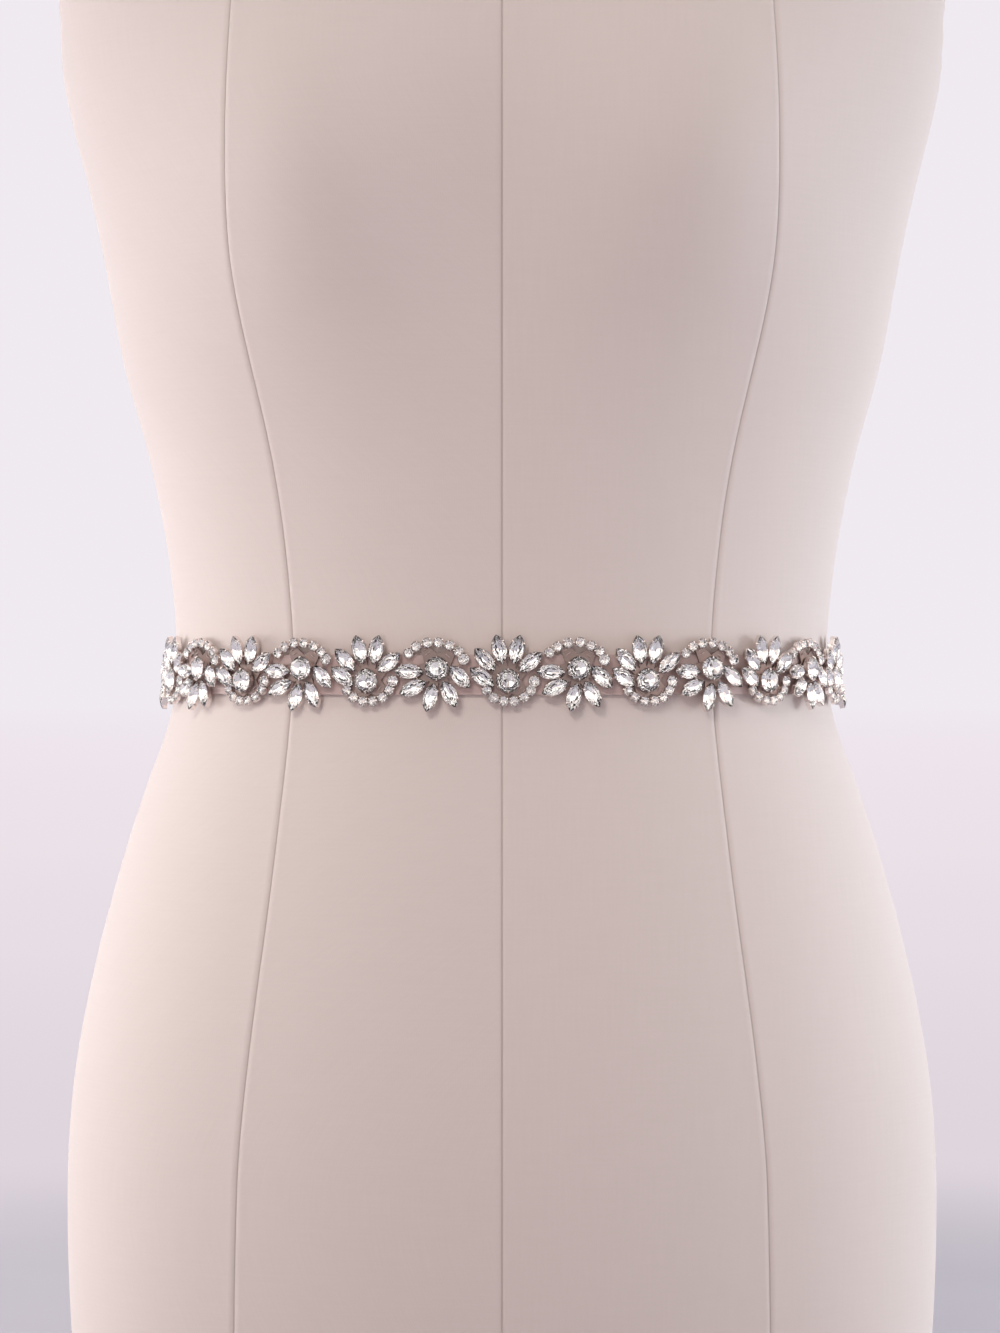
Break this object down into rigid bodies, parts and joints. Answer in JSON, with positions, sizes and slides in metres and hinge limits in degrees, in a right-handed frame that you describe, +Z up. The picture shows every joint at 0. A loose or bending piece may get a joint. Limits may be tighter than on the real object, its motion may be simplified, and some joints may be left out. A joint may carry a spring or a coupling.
{
  "type": "bridal sash on a dress form",
  "caption": "Ribbon sash with a floral crystal trim, tied at the back of a limbless dress form that stands on its flat underside.",
  "frame": {"origin": "middle of the dress form's flat underside", "axes": "+Z up, -Y the front of the form and of the sash, +X to the viewer's right from the front"},
  "size_m": [0.344, 0.2544, 0.768],
  "materials": {
    "form_cover": "plain linen, blush beige",
    "ribbon": "satin, blush",
    "crystal": "clear faceted glass in silver claw cups",
    "setting": "polished silver plate"
  },
  "bodies": {
    "root": {"dress_form": "form_cover", "ribbon_band": "ribbon", "knot": "ribbon", "tail_left": "ribbon", "tail_right": "ribbon", "motif_01": "crystal", "motif_02": "crystal", "motif_03": "crystal", "motif_04": "crystal", "motif_05": "crystal", "motif_06": "crystal", "motif_07": "crystal", "motif_08": "crystal", "motif_09": "crystal", "motif_10": "crystal", "motif_11": "crystal", "motif_12": "crystal", "motif_13": "crystal", "motif_14": "crystal", "motif_15": "crystal", "motif_16": "crystal", "motif_17": "crystal"}
  },
  "joints": []
}
